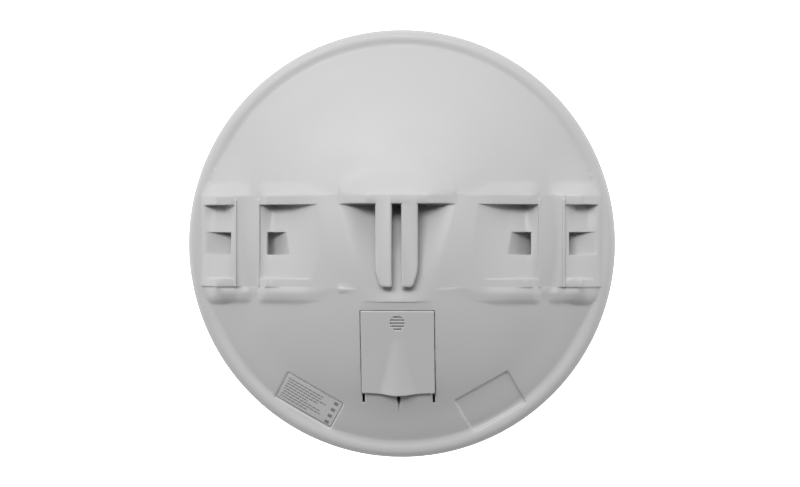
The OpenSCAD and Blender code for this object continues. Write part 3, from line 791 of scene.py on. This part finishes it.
SHELL_GREY = (0.45, 0.45, 0.453)
MATERIALS = {
    "housing_shell": lambda n: plastic(n, SHELL_GREY),
    "radome_shell": lambda n: plastic(n, SHELL_GREY, 0.4, 3200, 0.00001),
    "door_shell": lambda n: plastic(n, SHELL_GREY),
    "gasket_rubber": lambda n: rubber(n, (0.03, 0.03, 0.032)),
    "label_film": label_film,
    "aluminium_sheet": lambda n: metal(n, (0.78, 0.79, 0.8), 0.3, (1, 1, 12)),
    "nylon": lambda n: plastic(n, (0.72, 0.7, 0.62), 0.5),
    "zinc_steel": lambda n: metal(n, (0.62, 0.63, 0.66), 0.32),
    "circuit_board": circuit_board,
    "copper": lambda n: metal(n, (0.75, 0.36, 0.2), 0.28),
    "coax_jacket": lambda n: rubber(n, (0.05, 0.05, 0.05)),
    "thermal_rubber": lambda n: rubber(n, (0.45, 0.3, 0.33)),
    "tinned_steel": lambda n: metal(n, (0.7, 0.7, 0.68), 0.24, (1, 1, 20)),
    "chip_resin": lambda n: plastic(n, (0.02, 0.02, 0.021), 0.55, 1800, 0.00003, 0.2),
    "ferrite": lambda n: plastic(n, (0.06, 0.06, 0.065), 0.6, 1500, 0.00005, 0.2),
    "capacitor_can": lambda n: metal(n, (0.5, 0.51, 0.55), 0.3),
    "jack_plastic": lambda n: plastic(n, (0.018, 0.018, 0.02), 0.4, 2400, 0.00002, 0.15),
    "gold_contact": lambda n: metal(n, (0.83, 0.6, 0.25), 0.2),
    "led_lens": lambda n: plastic(n, (0.5, 0.72, 0.45), 0.2, 2000, 0.00001),
    "button_plastic": lambda n: plastic(n, (0.35, 0.02, 0.02), 0.4),
}


def dress():
    """Gives each slot's material to the CAD nodes that use it, and returns the materials."""
    made = {slot: make(slot) for slot, make in MATERIALS.items()}
    for part in frame["record"]["subparts"]:
        mesh = frame["nodes"][part["node"]].data
        mesh.materials.clear()
        mesh.materials.append(made[part["material_slot"]])
    return made


def place(piece, body, node, slot, made):
    """Puts a detailed piece on its body, in place of the CAD node."""
    piece.data.materials.clear()
    piece.data.materials.append(made[slot])
    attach(piece, body)
    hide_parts(node)


# ---------- Camera, light and stage ----------

AZIMUTH = math.radians(3.65)
DISTANCE = 0.8
FRAME_WIDTH = 0.415
FLOOR_Z = -0.2


def camera():
    """Camera level with the unit's middle, a little to the right of its axis."""
    data = bpy.data.cameras.new("camera")
    data.sensor_width = 36
    data.lens = data.sensor_width * DISTANCE / FRAME_WIDTH
    data.clip_start, data.clip_end = 0.01, 50
    eye = bpy.data.objects.new("camera", data)
    bpy.context.scene.collection.objects.link(eye)
    target = Vector((0, (PARTING_Y - 3) * MM, 0))
    eye.location = target + DISTANCE * Vector((math.sin(AZIMUTH), -math.cos(AZIMUTH), 0))
    eye.rotation_euler = (target - eye.location).to_track_quat("-Z", "Y").to_euler()
    bpy.context.scene.camera = eye


def area_light(name, place, size, power, target=(0, 0, 0)):
    """Soft box of a width and height, turned to the target."""
    data = bpy.data.lights.new(name, "AREA")
    data.shape = "RECTANGLE"
    data.size, data.size_y = size
    data.energy = power
    lamp = bpy.data.objects.new(name, data)
    bpy.context.scene.collection.objects.link(lamp)
    lamp.location = place
    lamp.rotation_euler = (Vector(target) - Vector(place)).to_track_quat("-Z", "Y").to_euler()


def glow(name, strength):
    """White paint that shines by itself."""
    m = Nodes(name)
    m.set(Base_Color=(0.8, 0.8, 0.8, 1), Roughness=0.9, Emission_Color=(1, 1, 1, 1),
          Emission_Strength=strength)
    return m.material


def seen_only(piece):
    """The camera sees the piece, but it throws no light on the object."""
    piece.visible_diffuse = piece.visible_glossy = piece.visible_transmission = False


def stage():
    """Pale floor, and a white backdrop all around."""
    bpy.ops.mesh.primitive_circle_add(vertices=96, radius=4, fill_type="NGON", location=(0, 0, FLOOR_Z))
    floor = bpy.context.object
    floor.name = "floor"
    floor.data.materials.append(glow("floor_paint", 1.1))
    seen_only(floor)
    bpy.ops.mesh.primitive_uv_sphere_add(segments=48, ring_count=24, radius=6)
    backdrop = bpy.context.object
    backdrop.name = "backdrop"
    backdrop.visible_shadow = False
    backdrop.data.materials.append(glow("backdrop_paint", 1.3))
    seen_only(backdrop)


def sky():
    """Soft white lobes around the object: in front, behind, and at each side of its rim."""
    world = bpy.data.worlds.new("world")
    bpy.context.scene.world = world
    world.use_nodes = True
    tree = world.node_tree
    place = tree.nodes.new("ShaderNodeTexCoord")
    total = None
    for direction, start, strength in SKY:
        dot = tree.nodes.new("ShaderNodeVectorMath")
        dot.operation = "DOT_PRODUCT"
        tree.links.new(place.outputs["Generated"], dot.inputs[0])
        dot.inputs[1].default_value = Vector(direction).normalized()
        span = tree.nodes.new("ShaderNodeMapRange")
        span.interpolation_type = "SMOOTHSTEP"
        tree.links.new(dot.outputs["Value"], span.inputs["Value"])
        span.inputs["From Min"].default_value = start
        span.inputs["From Max"].default_value = 1.0
        span.inputs["To Min"].default_value = 0.0
        span.inputs["To Max"].default_value = strength
        if total is None:
            total = span.outputs["Result"]
            continue
        add = tree.nodes.new("ShaderNodeMath")
        add.operation = "ADD"
        tree.links.new(span.outputs["Result"], add.inputs[0])
        tree.links.new(total, add.inputs[1])
        total = add.outputs[0]
    above_zero = tree.nodes.new("ShaderNodeMath")
    above_zero.operation = "MAXIMUM"
    above_zero.inputs[1].default_value = SKY_LEAST
    tree.links.new(total, above_zero.inputs[0])
    tree.nodes["Background"].inputs["Color"].default_value = (1, 1, 1, 1)
    tree.links.new(above_zero.outputs[0], tree.nodes["Background"].inputs["Strength"])


SKY_FRONT, SKY_BACK, SKY_RIM, SKY_BELOW, SKY_LEAST = 1.3, 0.4, 1.8, -1.8, 0.05
SKY = (
    ((0, -1, 0.05), 0.1, SKY_FRONT),
    ((0, 1, 0.1), 0.0, SKY_BACK),
    ((-1, 0.1, 0), 0.5, SKY_RIM),
    ((1, 0.1, 0), 0.5, SKY_RIM),
    ((0, 0.1, 1), 0.5, 0.45 * SKY_RIM),
    ((0, 0.1, -1), 0.5, 1.2 * SKY_RIM),
    ((0, -0.75, -0.66), 0.0, SKY_BELOW),
)
KEY_PLACE, KEY_SIZE, KEY_POWER = (-0.25, -1.4, 0.68), (1.2, 0.5), 19.5
TOP_PLACE, TOP_SIZE, TOP_POWER = (0, 0.35, 1.5), (2.4, 0.8), 2.5

camera()
area_light("key", KEY_PLACE, KEY_SIZE, KEY_POWER)
area_light("top", TOP_PLACE, TOP_SIZE, TOP_POWER)
stage()
sky()
bpy.context.scene.view_settings.view_transform = "Standard"

materials = dress()
place(rear_housing(), "housing", "rear_housing", "housing_shell", materials)
place(port_door(), "door", "port_door", "door_shell", materials)
place(front_radome(), "housing", "front_radome", "radome_shell", materials)
place(rating_label(), "housing", "rating_label", "label_film", materials)
